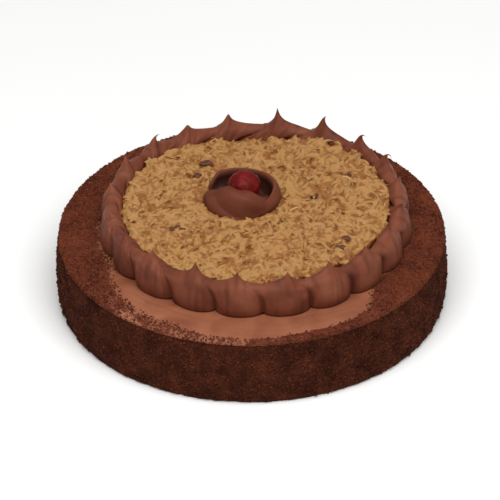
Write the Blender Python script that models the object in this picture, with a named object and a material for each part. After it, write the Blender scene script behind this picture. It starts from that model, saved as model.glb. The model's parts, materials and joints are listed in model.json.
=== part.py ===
"""A German chocolate cake: a round cake with a coat of crumbs on its side, a smooth layer of chocolate icing over its
top, a piped border of dollops with pulled peaks, a coconut and pecan filling inside the border, and a rosette with a
cherry near the centre. +Z is up, the origin is at the centre of the base, and the front is at -Y."""

import math
import random

import bmesh
import bpy
from mathutils import Matrix, Vector, noise
from mathutils.geometry import delaunay_2d_cdt

MM = 0.001
TURN = 2 * math.pi

# Driving dimensions of the cake and of the icing on its top
CAKE_RADIUS = 101.2 * MM  # at the rim
CAKE_BULGE = 1.8 * MM  # how much further out the side stands at half height
CAKE_HEIGHT = 35.7 * MM
ICING_THICKNESS = 3.0 * MM
ICING_RADIUS = 101.0 * MM
GAP = 0.3 * MM
ICING_TOP = CAKE_HEIGHT + GAP + ICING_THICKNESS
CRUMB_HEIGHT = 1.15 * MM
CLEAN_FRONT = math.radians(175)  # the middle of the stretch of margin that has few crumbs
CLEAN_HALF_SPAN = math.radians(32)
CRUMB_BAND = 24 * MM  # how far in from the rim the crumbs lie at the sides and the back

# Driving dimensions of the piped border
# Each dollop's azimuth in degrees, clockwise from the back seen from above, and its peak's height, sideways bend,
# hook, outward lean and bluntness in millimetres
DOLLOPS = [
    (9, 10.2, 0.0, 0.0, 0.0, 0.1),
    (27.4, 10.6, 1.4, 1.4, 0.0, 0.3),
    (46, 9.8, 1.4, 3.2, 0.3, 0.1),
    (62.5, 9.4, 1.8, 3.2, 2.2, 0.1),
    (79, 7.6, 1.6, 1.4, 2.4, 0.2),
    (97, 7.2, 1.4, 1.0, 2.8, 0.3),
    (114, 7.0, 1.2, 0.8, 2.4, 0.3),
    (131.5, 7.0, 1.0, 0.6, 1.0, 0.3),
    (150, 7.0, 0.4, 0.3, 0.0, 0.2),
    (167.5, 6.0, 0.3, 0.0, 0.0, 0.2),
    (187.6, 7.0, -0.3, 0.0, 0.0, 0.2),
    (204.6, 9.6, -0.3, 0.0, 0.0, 0.2),
    (225, 7.0, 0.0, 0.0, 0.4, 0.3),
    (242.5, 5.6, 0.0, 0.6, 2.2, 0.4),
    (259, 4.6, 0.4, 0.6, 2.8, 0.4),
    (278.5, 4.6, 0.6, 0.6, 2.0, 0.4),
    (296, 7.2, 0.6, 0.5, 1.4, 0.4),
    (314.2, 7.6, 0.8, 3.2, 0.0, 0.1),
    (331.5, 5.6, 0.3, 0.0, 0.0, 1.3),
    (349, 6.2, 0.4, 0.0, 0.0, 0.9),
]
RING_MIDDLE = Vector((2.3 * MM, 1.3 * MM))  # the ring was piped a little off the cake's centre
BORDER_RADIUS = 75.6 * MM
OUTER_HALF_WIDTH = 6.8 * MM
INNER_HALF_WIDTH = 7.2 * MM
BORDER_HEIGHT = 17.8 * MM
BOXINESS = 0.8
CREVICE_SLANT = math.radians(5)  # how far askew the crevices run down the inner face
CREVICE_SWING = math.radians(4.5)  # how much further they lean towards the next peak at their top
PEAK_NEEDLE = 1.25 * MM  # how far out the thin part of a peak reaches
PEAK_SKIRT = 5.2 * MM  # how far out the flare at a peak's foot reaches

# Driving dimensions of the filling
FILLING_EDGE_HEIGHT = 14.9 * MM
FILLING_EDGE_TILT = 1.6 * MM  # the filling is heaped higher towards the back right
HEAPED_SIDE = math.radians(35)
BACK_DIP = 6.8 * MM  # how much lower the filling's edge lies at the back
DIP_AT = math.radians(-2)
DIP_SPAN = math.radians(24)
FILLING_CENTRE_HEIGHT = 18.4 * MM
FILLING_CLEARANCE = 0.4 * MM
FILLING_SHOULDER = 1.6 * MM  # how far below its edge the filling starts to round over
POINT_SPACING = 4.9 * MM
LUMP_SIZE = 6.5 * MM
LUMP_HEIGHT = 2.3 * MM
PECAN_SPOTS = [(-23.3, 37.9), (-28.6, 27.6), (-38.6, -20.1), (42.4, 13.6), (34.0, 4.2), (45.1, -36.9), (41.4, -41.6)]
SHREDS = 22

# Driving dimensions of the rosette and the cherry
ROSETTE_AT = Vector((-5.0 * MM, 5.5 * MM))
ROSETTE_SEAT = 16.6 * MM  # above the icing
SEAT_RADIUS = 23.0 * MM
ROPE_RADIUS = 15.2 * MM
ROPE_HALF_WIDTH = 5.2 * MM
ROPE_HEIGHT = 7.4 * MM
WALL_HEIGHT = 9.4 * MM
WALL_SECTION = [
    (0.8, 0.0),
    (1.05, 0.3),
    (0.94, 0.66),
    (0.68, 0.88),
    (0.46, 1.0),
    (0.26, 0.96),
    (0.08, 0.68),
    (-0.12, 0.38),
    (-0.5, 0.22),
    (-1.0, 0.16),
    (-1.0, 0.0),
]
ROSETTE_FLOOR = 2.0 * MM
TAIL_TURN = (178, 345)  # degrees anticlockwise from +X
WALL_TURN = (282, 512)
INNER_TURN = (510, 735)
INNER_RADIUS = 8.9 * MM
INNER_HALF_ROPE = 5.6 * MM
INNER_LOW = 4.5 * MM
INNER_CREST = 8.0 * MM  # how much higher the inner rope rises against the cherry's front
CHERRY_AT = Vector((-3.6 * MM, 4.6 * MM, 26.2 * MM))  # above the icing
CHERRY_HALF_WIDTH = 8.9 * MM
CHERRY_HALF_HEIGHT = 7.7 * MM


def clear_scene():
    for obj in list(bpy.data.objects):
        bpy.data.objects.remove(obj, do_unlink=True)


def make_material(name, colour, roughness):
    material = bpy.data.materials.new(name)
    material.use_nodes = True
    shader = material.node_tree.nodes["Principled BSDF"]
    shader.inputs["Base Color"].default_value = (*colour, 1)
    shader.inputs["Roughness"].default_value = roughness
    shader.inputs["Metallic"].default_value = 0
    return material


def object_from(name, bm, material=None):
    """The bmesh as a named object, with its faces turned outwards and shaded smooth."""
    bmesh.ops.recalc_face_normals(bm, faces=bm.faces[:])
    mesh = bpy.data.meshes.new(name)
    bm.to_mesh(mesh)
    bm.free()
    mesh.shade_smooth()
    mesh.set_sharp_from_angle(angle=math.radians(50))
    obj = bpy.data.objects.new(name, mesh)
    bpy.context.scene.collection.objects.link(obj)
    if material:
        mesh.materials.append(material)
    return obj


def on_cake(azimuth, radius, height):
    """A point at this azimuth, clockwise from the back seen from above."""
    return Vector((radius * math.sin(azimuth), radius * math.cos(azimuth), height))


def on_ring(azimuth, radius, height):
    """The same, about the middle of the piped ring."""
    return on_cake(azimuth, radius, height) + Vector((*RING_MIDDLE, 0))


def join_loops(bm, first, second):
    """A closed strip of faces between two rings of the same number of vertices."""
    count = len(first)
    for i in range(count):
        j = (i + 1) % count
        bm.faces.new((first[i], first[j], second[j], second[i]))


def stacked_rings(rings, closed_ends=True):
    """A solid skinned over rings of points, one after the other, with a flat face at each end."""
    bm = bmesh.new()
    loops = [[bm.verts.new(p) for p in ring] for ring in rings]
    for lower, upper in zip(loops, loops[1:]):
        join_loops(bm, lower, upper)
    if closed_ends:
        bm.faces.new(loops[0])
        bm.faces.new(loops[-1])
    return bm


def union(target, pieces, solver="EXACT"):
    """Fuses the pieces to the target with one Boolean on a collection, and removes them."""
    group = bpy.data.collections.new(target.name + "_pieces")
    for piece in pieces:
        group.objects.link(piece)
    join = target.modifiers.new("join", "BOOLEAN")
    join.operation = "UNION"
    join.operand_type = "COLLECTION"
    join.collection = group
    join.solver = solver
    apply_modifiers(target)
    for piece in pieces:
        bpy.data.objects.remove(piece, do_unlink=True)
    bpy.data.collections.remove(group)


def cut(target, cutter):
    """Cuts the cutter's shape out of the target, and removes the cutter. EXACT fails on the rosette's turns."""
    carve = target.modifiers.new("carve", "BOOLEAN")
    carve.operation = "DIFFERENCE"
    carve.object = cutter
    carve.solver = "MANIFOLD"
    apply_modifiers(target)
    bpy.data.objects.remove(cutter, do_unlink=True)


def apply_modifiers(obj):
    bpy.context.view_layer.update()
    graph = bpy.context.evaluated_depsgraph_get()
    mesh = bpy.data.meshes.new_from_object(obj.evaluated_get(graph))
    obj.modifiers.clear()
    obj.data = mesh
    mesh.shade_smooth()
    mesh.set_sharp_from_angle(angle=math.radians(50))


# The cake and its coat of crumbs


def rough(spot, size):
    """Bumps of about this size at this spot, from -1 to 1."""
    return noise.noise(spot / size) + 0.6 * noise.noise(2.1 * spot / size + Vector((7, 3, 1)))


def build_cake(material):
    segments = 132
    bands = 8
    rings = []
    for level in range(bands + 1):
        height = CAKE_HEIGHT * level / bands
        radius = CAKE_RADIUS + CAKE_BULGE * math.sin(math.pi * level / bands) ** 0.7
        ring = []
        for i in range(segments):
            azimuth = (i + 0.5 * (level % 2)) * TURN / segments
            relief = CRUMB_HEIGHT * rough(on_cake(azimuth, radius, height), 4.5 * MM)
            if level in (0, bands):
                relief *= 0.4
            ring.append(on_cake(azimuth, radius + relief, height))
        rings.append(ring)
    return object_from("crumb_coated_cake", stacked_rings(rings), material)


# The smooth layer of icing on the top


def crumb_cover(azimuth, radius):
    """How thickly crumbs lie on the icing's margin, from 0 to 1. The front is left nearly clean, and the crumbs stop
    more suddenly to its right than to its left."""
    from_front = (azimuth - CLEAN_FRONT + math.pi) % TURN - math.pi
    fade = math.radians(40 if from_front > 0 else 14)
    side = max(0, min(1, (abs(from_front) - CLEAN_HALF_SPAN) / fade))
    reach = 2.5 * MM + CRUMB_BAND * side
    cover = max(0, min(1, 2.5 * (1 - (ICING_RADIUS - radius) / reach)))
    return cover * (0.1 + 0.9 * side**1.5)


def build_top_icing(material):
    segments = 104
    insets = [0.9 * MM, 3.6 * MM, 7.0 * MM, 10.6 * MM, 15.0 * MM]
    azimuths = [i * TURN / segments for i in range(segments)]
    rings = [
        [on_cake(a, ICING_RADIUS - 0.4 * MM, CAKE_HEIGHT + GAP) for a in azimuths],
        [on_cake(a, ICING_RADIUS, ICING_TOP - 1.7 * MM) for a in azimuths],
    ]
    for inset in insets:
        ring = []
        for a in azimuths:
            radius = ICING_RADIUS - inset
            dip = 0.5 * MM * max(0, 1 - inset / (8 * MM)) * (1 + 0.4 * math.sin(5 * a + 1.1))
            crumbs = crumb_cover(a, radius) * CRUMB_HEIGHT * (0.3 + rough(on_cake(a, radius, 0), 4 * MM))
            crumbs *= min(1, (insets[-1] - inset) / (4 * MM))
            ring.append(on_cake(a, radius, ICING_TOP - dip + max(crumbs, -0.6 * MM)))
        rings.append(ring)
    return object_from("top_icing", stacked_rings(rings), material)


# The piped border


def border_centre(azimuth):
    """The ring isn't quite round: its centre line wanders a little."""
    return BORDER_RADIUS + 0.5 * MM * math.sin(2 * azimuth + 1) + 0.3 * MM * math.sin(3 * azimuth)


def section_offset(phi):
    """How far out, from -1 to 1, and how high, from 0 to 1, a section of the border is at this angle over its crest."""
    lean = math.cos(phi)
    return math.copysign(abs(lean) ** BOXINESS, lean), math.sin(phi) ** BOXINESS


def border_point(dollop, width, share, phi, half_pitch):
    """A point of the border's skin. share runs from -0.5 to 0.5 across one dollop, and phi from 0 at the outer foot
    over the crest to pi at the inner foot. The notches between dollops are deepest at the foot."""
    place, peak, bend, hook, outward, blunt = dollop
    swell = math.sqrt(1 - (1.94 * share) ** 2)
    side, lift = section_offset(phi)
    notch = (1 - swell) * (1 - lift**2)
    if side > 0:
        out = side * OUTER_HALF_WIDTH * width * (1 - 1.12 * notch)
    else:
        out = side * INNER_HALF_WIDTH * width * (1 - 0.4 * notch)
    level = BORDER_HEIGHT * (0.97 + 0.03 * math.cos(TURN * share)) * lift
    out *= 0.86 + 0.14 * min(1, level / (4 * MM))

    off_peak = math.hypot(2 * share * half_pitch * BORDER_RADIUS, out, blunt * MM) - blunt * MM
    spike = 0.52 * math.exp(-off_peak / PEAK_NEEDLE) + 0.48 * math.exp(-off_peak / PEAK_SKIRT)
    rise = peak * MM * (spike - 0.05 * hook * spike**9)
    azimuth = math.radians(place) + 2 * share * half_pitch
    fall = 1 - math.sin(phi)
    swing = CREVICE_SWING * abs(2 * share) ** 1.5
    if side > 0:
        azimuth += swing * (1 - fall) ** 3
    else:
        azimuth += swing * math.cos(math.pi * min(1, fall / 0.5)) - CREVICE_SLANT * fall**0.8
    radius = border_centre(azimuth) + out + outward * spike**1.6 * MM
    height = ICING_TOP + GAP + level + rise * lift
    return on_ring(azimuth + (bend * spike**2 + hook * spike**5) * MM / radius, radius, height)


def build_border(material):
    shares = [-0.5, -0.38, -0.24, -0.12, -0.045, 0, 0.045, 0.12, 0.24, 0.38]
    phis = [math.radians(d) for d in (0, 16, 36, 58, 75, 84, 90, 96, 105, 122, 145, 180)]
    rng = random.Random(21)
    bm = bmesh.new()
    loops = []
    for k, dollop in enumerate(DOLLOPS):
        width = rng.uniform(0.94, 1.04)
        before = math.radians((dollop[0] - DOLLOPS[k - 1][0]) % 360) / 2
        after = math.radians((DOLLOPS[(k + 1) % len(DOLLOPS)][0] - dollop[0]) % 360) / 2
        for share in shares:
            half_pitch = before if share < 0 else after
            loops.append([bm.verts.new(border_point(dollop, width, share, phi, half_pitch)) for phi in phis])
    for i, loop in enumerate(loops):
        join_loops(bm, loop, loops[(i + 1) % len(loops)])
    return object_from("piped_border", bm, material)


# The coconut and pecan filling


def filling_wall(azimuth, level):
    """The filling's outer wall follows the border's inner face, a little clear of it."""
    phi = math.pi - math.asin(min(1, level / BORDER_HEIGHT) ** (1 / BOXINESS))
    side, _ = section_offset(phi)
    inner = 1.05 * INNER_HALF_WIDTH * side * (0.86 + 0.14 * min(1, level / (4 * MM)))
    return border_centre(azimuth) + inner - FILLING_CLEARANCE


def filling_edge(azimuth):
    """Height of the filling above the icing where it meets the border."""
    heap = FILLING_EDGE_HEIGHT + FILLING_EDGE_TILT * math.cos(azimuth - HEAPED_SIDE)
    from_dip = (azimuth - DIP_AT + math.pi) % TURN - math.pi
    return heap - BACK_DIP * math.exp(-((from_dip / DIP_SPAN) ** 2))


def filling_level(spot):
    """Height of the filling above the icing: a low dome with lumps, and a level seat under the rosette."""
    from_middle = spot - RING_MIDDLE
    across = min(1, from_middle.length / BORDER_RADIUS)
    edge = filling_edge(math.atan2(from_middle.x, from_middle.y))
    dome = FILLING_CENTRE_HEIGHT + (edge - FILLING_CENTRE_HEIGHT) * across**2.4
    lumps = LUMP_HEIGHT * rough(Vector((spot.x, spot.y, 0)), LUMP_SIZE)
    from_seat = (spot - ROSETTE_AT).length - SEAT_RADIUS
    blend = max(0, min(1, from_seat / (4 * MM)))
    level = ROSETTE_SEAT + blend * (dome + lumps - ROSETTE_SEAT)
    return max(level, edge - FILLING_SHOULDER + 2 * GAP)


def filling_spots(boundary):
    """Evenly scattered spots for the filling's top, inside the boundary's corners and sparse under the rosette."""
    golden = math.radians(137.508)
    spots = list(boundary)
    reach = BORDER_RADIUS - INNER_HALF_WIDTH
    count = int((reach / POINT_SPACING) ** 2 * 3.6)
    for i in range(count):
        radius = reach * math.sqrt((i + 0.5) / count)
        spot = on_ring(golden * i, radius, 0).xy
        from_seat = (spot - ROSETTE_AT).length - SEAT_RADIUS
        if from_seat < -POINT_SPACING and i % 3:
            continue
        spots.append(spot)
    return spots


def on_filling(spot):
    """A point at the filling's top, so that what is put there stands half out of it."""
    return Vector((spot.x, spot.y, ICING_TOP + filling_level(spot)))


def pecan(at, rng):
    """A chopped piece of pecan, half sunk in the filling."""
    bm = bmesh.new()
    bmesh.ops.create_icosphere(bm, subdivisions=1, radius=1)
    size = Vector((rng.uniform(2.8, 3.6), rng.uniform(2.0, 2.5), rng.uniform(1.2, 1.5))) * MM
    bmesh.ops.scale(bm, verts=bm.verts[:], vec=size)
    turn = Matrix.Rotation(rng.uniform(0, TURN), 3, "Z")
    bmesh.ops.rotate(bm, verts=bm.verts[:], cent=(0, 0, 0), matrix=turn)
    bmesh.ops.translate(bm, verts=bm.verts[:], vec=at)
    return object_from("pecan", bm)


def shred(at, rng):
    """A bent shred of coconut, a thin strip lying on the filling."""
    length = rng.uniform(8, 13) * MM
    width = rng.uniform(0.8, 1.1) * MM
    bend = rng.uniform(-2.2, 2.2) * MM
    turn = Matrix.Rotation(rng.uniform(0, TURN), 3, "Z")
    bm = bmesh.new()
    loops = []
    for t in (-1, 0, 1):
        middle = Vector((t * length / 2, bend * (1 - t * t), 0.2 * MM * (1 - t * t)))
        slim = width * (1 - 0.35 * abs(t))
        corners = ((-slim, -0.9 * MM), (slim, -0.9 * MM), (slim * 0.7, 0.75 * MM), (-slim * 0.7, 0.75 * MM))
        loops.append([bm.verts.new(middle + Vector((0, y, z))) for y, z in corners])
    for first, second in zip(loops, loops[1:]):
        join_loops(bm, first, second)
    bm.faces.new(loops[0])
    bm.faces.new(loops[-1])
    bmesh.ops.rotate(bm, verts=bm.verts[:], cent=(0, 0, 0), matrix=turn)
    bmesh.ops.translate(bm, verts=bm.verts[:], vec=at)
    return object_from("shred", bm)


def build_filling(material):
    segments = 76
    azimuths = [i * TURN / segments for i in range(segments)]
    bm = bmesh.new()
    loops = []
    for share in (0, 0.35, 0.7, 1):
        ring = []
        for a in azimuths:
            level = share * (filling_edge(a) - FILLING_SHOULDER)
            ring.append(on_ring(a, filling_wall(a, level), ICING_TOP + GAP + level))
        loops.append([bm.verts.new(p) for p in ring])
    for lower, upper in zip(loops, loops[1:]):
        join_loops(bm, lower, upper)
    bm.faces.new(loops[0])

    rim = []
    for a in azimuths:
        shoulder = filling_wall(a, filling_edge(a) - FILLING_SHOULDER)
        rim.append(on_ring(a, shoulder - 0.8 * MM, 0).xy)
    spots, _, triangles, _, _, _ = delaunay_2d_cdt(filling_spots(rim), [], [list(range(segments))], 1, 1e-7)
    top = [bm.verts.new((spot.x, spot.y, ICING_TOP + filling_level(spot))) for spot in spots]
    for triangle in triangles:
        bm.faces.new([top[i] for i in triangle])
    join_loops(bm, loops[-1], top[:segments])
    filling = object_from("coconut_pecan_filling", bm, material)

    rng = random.Random(15)
    bits = []
    for spot in PECAN_SPOTS:
        bits.append(pecan(on_filling(Vector(spot) * MM), rng))
    while len(bits) < len(PECAN_SPOTS) + SHREDS:
        spot = on_ring(rng.uniform(0, TURN), math.sqrt(rng.uniform(0, 1)) * 61 * MM, 0).xy
        if (spot - ROSETTE_AT).length > SEAT_RADIUS + 8 * MM:
            bits.append(shred(on_filling(spot), rng))
    union(filling, bits)
    return filling


# The rosette and the cherry


ROUND_SECTION = [section_offset(math.pi * c / 9) for c in range(10)]
SLOPING_SECTION = [(side, lift**1.7) for side, lift in ROUND_SECTION]


def tail_rope(degrees, share):
    """Starts with a blunt round end at the left and winds inwards past the front."""
    taper = min(1, 0.85 + 3.2 * share) * min(1, 0.2 + 2 * (1 - share))
    return ROPE_RADIUS - 3 * MM * share**2, ROPE_HALF_WIDTH * taper, ROPE_HEIGHT * taper, ROUND_SECTION


def wall_rope(degrees, share):
    """A wall with a thin lip. It starts at the foot of the front, rises to the right and goes on round the back."""
    start = max(0, min(1, (degrees - WALL_TURN[0]) / 75))
    rise = 0.1 + 0.9 * start * (2 - start)
    taper = min(1, 0.45 + 6 * (1 - share))
    half_width = ROPE_HALF_WIDTH * taper * (0.6 + 0.4 * start)
    return ROPE_RADIUS + 0.6 * MM * (1 - start), half_width, WALL_HEIGHT * rise * taper, WALL_SECTION


def inner_rope(degrees, share):
    """Rises against the cherry's front and sinks away to both sides."""
    rise = INNER_LOW + INNER_CREST * math.exp(-(((degrees - 607) / 72) ** 4))
    taper = min(1, 0.4 + 4 * share) * min(1, 0.4 + 4 * (1 - share))
    return INNER_RADIUS, INNER_HALF_ROPE * taper, rise * taper, SLOPING_SECTION


def rope(name, middle, turn, steps, shape):
    """A flat-bottomed rope of icing that winds round a middle. shape gives its radius, half width, height and the
    points of its section, for an angle in degrees and the share of the rope's length."""
    bm = bmesh.new()
    loops = []
    for i in range(steps + 1):
        degrees = turn[0] + (turn[1] - turn[0]) * i / steps
        radius, half_width, rise, section = shape(degrees, i / steps)
        angle = math.radians(degrees)
        loop = []
        for side, lift in section:
            reach = radius + side * half_width
            at = Vector((reach * math.cos(angle), reach * math.sin(angle), lift * rise))
            loop.append(bm.verts.new(at + Vector((middle.x, middle.y, ICING_TOP + ROSETTE_SEAT + GAP))))
        loops.append(loop)
    for first, second in zip(loops, loops[1:]):
        join_loops(bm, first, second)
    bm.faces.new(loops[0])
    bm.faces.new(loops[-1])
    return object_from(name, bm)


def cherry_solid(name, swell, material=None):
    """The cherry: a slightly flattened ball with soft folds down its sides."""
    bm = bmesh.new()
    bmesh.ops.create_uvsphere(bm, u_segments=18, v_segments=10, radius=1)
    for vert in bm.verts:
        angle = math.atan2(vert.co.y, vert.co.x)
        fold = abs(math.sin(2.5 * angle + 0.7)) ** 0.5
        furrow = 1 - 0.05 * (1 - fold) * (1 - vert.co.z**4)
        vert.co.x *= CHERRY_HALF_WIDTH * furrow + swell
        vert.co.y *= CHERRY_HALF_WIDTH * furrow + swell
        vert.co.z *= CHERRY_HALF_HEIGHT + swell
    tilt = Matrix.Rotation(math.radians(18), 3, "X")
    bmesh.ops.rotate(bm, verts=bm.verts[:], cent=(0, 0, 0), matrix=tilt)
    bmesh.ops.translate(bm, verts=bm.verts[:], vec=CHERRY_AT + Vector((0, 0, ICING_TOP)))
    return object_from(name, bm, material)


def build_rosette(material):
    rosette = rope("icing_rosette", ROSETTE_AT, TAIL_TURN, 12, tail_rope)
    rosette.data.materials.append(material)
    wall = rope("rosette_wall", ROSETTE_AT, WALL_TURN, 17, wall_rope)
    inner = rope("inner_turn", CHERRY_AT, INNER_TURN, 14, inner_rope)
    bm = bmesh.new()
    radius = ROPE_RADIUS - 0.5 * MM
    bmesh.ops.create_cone(bm, cap_ends=True, segments=20, radius1=radius, radius2=radius, depth=ROSETTE_FLOOR)
    middle = Vector((*ROSETTE_AT, ICING_TOP + ROSETTE_SEAT + GAP + ROSETTE_FLOOR / 2))
    bmesh.ops.translate(bm, verts=bm.verts[:], vec=middle)
    floor = object_from("rosette_floor", bm)
    union(rosette, [wall, inner, floor], "MANIFOLD")
    cut(rosette, cherry_solid("cherry_pocket", GAP))
    return rosette


def main():
    clear_scene()
    crumb_brown = make_material("chocolate_crumbs", (0.047, 0.014, 0.008), 0.85)
    icing_brown = make_material("chocolate_icing", (0.26, 0.094, 0.053), 0.45)
    filling_tan = make_material("coconut_pecan_filling", (0.39, 0.175, 0.06), 0.4)
    cherry_red = make_material("maraschino_cherry", (0.16, 0.009, 0.009), 0.15)
    build_cake(crumb_brown)
    build_top_icing(icing_brown)
    build_border(icing_brown)
    build_filling(filling_tan)
    build_rosette(icing_brown)
    cherry_solid("cherry", 0, cherry_red)


main()
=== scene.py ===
"""A German chocolate cake, dressed for a portrait: a coat of chocolate crumbs, satin chocolate icing piped into a ring
of pulled peaks, a moist filling of shredded coconut and pecans, and a rosette that holds a candied cherry."""

import json
import math
import random

import bmesh
import bpy
from mathutils import Matrix, Vector, noise
from mathutils.bvhtree import BVHTree

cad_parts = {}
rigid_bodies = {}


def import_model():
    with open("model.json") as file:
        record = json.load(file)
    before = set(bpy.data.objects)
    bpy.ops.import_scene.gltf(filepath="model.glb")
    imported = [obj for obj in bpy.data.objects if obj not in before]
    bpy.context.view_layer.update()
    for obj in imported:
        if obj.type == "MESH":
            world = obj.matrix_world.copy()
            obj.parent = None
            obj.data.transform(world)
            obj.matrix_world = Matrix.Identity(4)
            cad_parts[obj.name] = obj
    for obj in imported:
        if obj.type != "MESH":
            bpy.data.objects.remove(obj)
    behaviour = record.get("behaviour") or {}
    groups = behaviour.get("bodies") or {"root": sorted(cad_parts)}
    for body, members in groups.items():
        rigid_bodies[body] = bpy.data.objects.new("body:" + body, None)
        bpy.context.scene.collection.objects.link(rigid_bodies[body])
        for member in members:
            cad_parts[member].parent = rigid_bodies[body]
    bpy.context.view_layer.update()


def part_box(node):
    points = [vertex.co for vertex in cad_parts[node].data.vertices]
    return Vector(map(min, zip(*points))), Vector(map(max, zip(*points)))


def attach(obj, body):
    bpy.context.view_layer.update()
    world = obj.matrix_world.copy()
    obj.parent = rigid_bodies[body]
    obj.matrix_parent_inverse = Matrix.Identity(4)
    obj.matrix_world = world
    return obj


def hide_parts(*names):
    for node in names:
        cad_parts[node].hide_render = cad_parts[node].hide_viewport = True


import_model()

MM = 0.001
TURN = 2 * math.pi

# The cake and the icing on its top
CAKE_RADIUS = 100.4 * MM  # at the rim
CAKE_BULGE = 1.5 * MM  # how much further out the side stands at half height
CAKE_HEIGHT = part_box("crumb_coated_cake")[1].z
GAP = 0.3 * MM
ICING_THICKNESS = 3.0 * MM
ICING_RADIUS = 101.0 * MM
ICING_TOP = CAKE_HEIGHT + GAP + ICING_THICKNESS
# The crumbs on the icing's margin: at azimuths in degrees, how far in from the rim they reach, in millimetres, and
# how much of it they cover at the rim
RIM_CRUMBS = [
    (0, 26, 1.0),
    (125, 26, 1.0),
    (133, 20, 0.95),
    (138, 12, 0.75),
    (146, 6, 0.9),
    (156, 5.6, 0.9),
    (166, 5.2, 0.9),
    (174, 3.4, 0.7),
    (182, 2.6, 0.5),
    (192, 4.5, 0.45),
    (205, 8.5, 0.45),
    (216, 9.5, 0.5),
    (228, 13, 0.6),
    (240, 20, 0.85),
    (250, 26, 1.0),
    (360, 26, 1.0),
]

# The piped border
# Each dollop's azimuth in degrees, clockwise from the back seen from above, and its peak's height, sideways bend,
# hook, outward lean and bluntness in millimetres
DOLLOPS = [
    (9, 10.9, 0.0, 0.0, 0.0, 0.1),
    (27.4, 11.9, 1.4, 1.4, 0.0, 0.3),
    (46, 11.0, 1.4, 3.6, 0.3, 0.1),
    (62.5, 10.8, 1.8, 4.8, 2.2, 0.1),
    (79, 8.4, 1.6, 1.4, 2.4, 0.2),
    (97, 7.2, 1.4, 1.0, 2.8, 0.3),
    (114, 7.0, 1.2, 0.8, 2.4, 0.3),
    (131.5, 7.0, 1.0, 0.6, 1.0, 0.3),
    (150, 7.0, 0.4, 0.3, 0.0, 0.2),
    (167.5, 6.0, 0.3, 0.0, 0.0, 0.2),
    (187.6, 7.0, -0.3, 0.0, 0.0, 0.2),
    (204.6, 9.6, -0.3, 0.0, 0.0, 0.2),
    (225, 7.0, 0.0, 0.0, 0.4, 0.3),
    (242.5, 5.6, 0.0, 0.6, 2.2, 0.4),
    (259, 4.6, 0.4, 0.6, 2.8, 0.4),
    (278.5, 4.6, 0.6, 0.6, 2.0, 0.4),
    (296, 7.2, 0.6, 0.5, 1.4, 0.4),
    (314.2, 8.4, 0.8, 4.6, 0.0, 0.1),
    (331.5, 5.6, 0.3, 0.0, 0.0, 1.3),
    (349, 7.2, 0.4, 0.0, 0.0, 0.9),
]
RING_MIDDLE = Vector((2.3 * MM, 1.3 * MM))
BORDER_RADIUS = 75.6 * MM
OUTER_HALF_WIDTH = 6.8 * MM
INNER_HALF_WIDTH = 7.2 * MM
BORDER_HEIGHT = 17.8 * MM
BORDER_SAG = 0.075  # by what share of its height the crest lies lower at the back right
SAG_AT = math.radians(30)  # the azimuth where it lies lowest
BOXINESS = 0.8
CREVICE_SLANT = math.radians(5)  # how far askew the crevices run down the inner face
CREVICE_SWING = math.radians(4.5)  # how much further they lean towards the next peak at their top
OUTER_CREVICE = 0.8 * MM
INNER_CREVICE = 2.6 * MM
CREVICE_WIDTH = 0.05  # as a share of a dollop's width, as the next one is
# The painted shade along the crevices: how wide it is, as a share of a dollop's width
CREVICE_SHADE_WIDTH = 0.06
OVERLAP = 1.0 * MM  # how far a dollop's inner face stands over the one before it
PEAK_NEEDLE = 1.25 * MM  # how far out the thin part of a peak reaches
PEAK_SKIRT = 5.2 * MM  # how far out the flare at a peak's foot reaches
PIPING_RIDGE = 0.2 * MM
PULLED_STREAK = 0.3 * MM
STREAK_DARKNESS = 0.6  # how dark the streaks are, and below it how dark the painted shade in the crevices is, from 0 to 1
INNER_CREVICE_SHADE = 0.85
OUTER_CREVICE_SHADE = 0.25

# The filling
FILLING_EDGE_HEIGHT = 14.6 * MM
FILLING_EDGE_TILT = 1.6 * MM
HEAPED_SIDE = math.radians(35)
BACK_DIP = 6.8 * MM  # how much lower the filling's edge lies at the back
DIP_AT = math.radians(-2)
DIP_SPAN = math.radians(24)
FILLING_CENTRE_HEIGHT = 18.4 * MM
LUMP_SIZE = 6.5 * MM
LUMP_HEIGHT = 2.3 * MM
SHRED_INSET = 6.8 * MM  # how far inside the border's centre line the shreds end
LOWEST_SHREDS = 9 * MM  # above the icing
FILLING_VOXEL = 0.44 * MM
FILLING_SHARE_KEPT = 0.32  # of the triangles of its skin
# Each large pecan piece's place, half length, half width and turn in degrees, with lengths in millimetres
PECAN_SPOTS = [
    (-23.3, 37.9, 3.6, 2.8, -20),
    (-28.6, 25.6, 2.6, 1.9, 15),
    (-38.6, -21.1, 5.2, 2.5, 4),
    (33.6, 3.0, 2.6, 2.0, 30),
    (44.4, 16.6, 3.2, 2.2, -10),
    (50.5, 25.2, 2.4, 1.8, 20),
    (46.3, -39.9, 3.0, 2.2, -35),
    (49.0, -32.0, 2.4, 1.8, 10),
]

# The rosette and the cherry
ROSETTE_AT = Vector((-5.0 * MM, 5.5 * MM))
ROSETTE_SEAT = 16.6 * MM
ROSETTE_BASE = ICING_TOP + ROSETTE_SEAT + GAP
SEAT_RADIUS = 22.0 * MM
ROPE_RADIUS = 15.2 * MM
ROPE_HALF_WIDTH = 5.2 * MM
ROPE_HEIGHT = 7.4 * MM
WALL_HEIGHT = 8.7 * MM
WALL_SECTION = [
    (0.8, 0.0),
    (1.0, 0.16),
    (1.06, 0.4),
    (0.94, 0.66),
    (0.68, 0.88),
    (0.46, 1.0),
    (0.26, 0.96),
    (0.12, 0.76),
    (-0.04, 0.48),
    (-0.3, 0.27),
    (-0.7, 0.18),
    (-1.0, 0.16),
    (-1.0, 0.0),
]
TAIL_TURN = (178, 345)  # degrees anticlockwise from +X
WALL_TURN = (282, 512)
INNER_TURN = (510, 735)
INNER_RADIUS = 10.5 * MM
INNER_HALF_ROPE = 7.6 * MM
INNER_LOW = 4.5 * MM
INNER_CREST = 8.0 * MM  # how much higher the inner rope rises against the cherry's front
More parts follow.
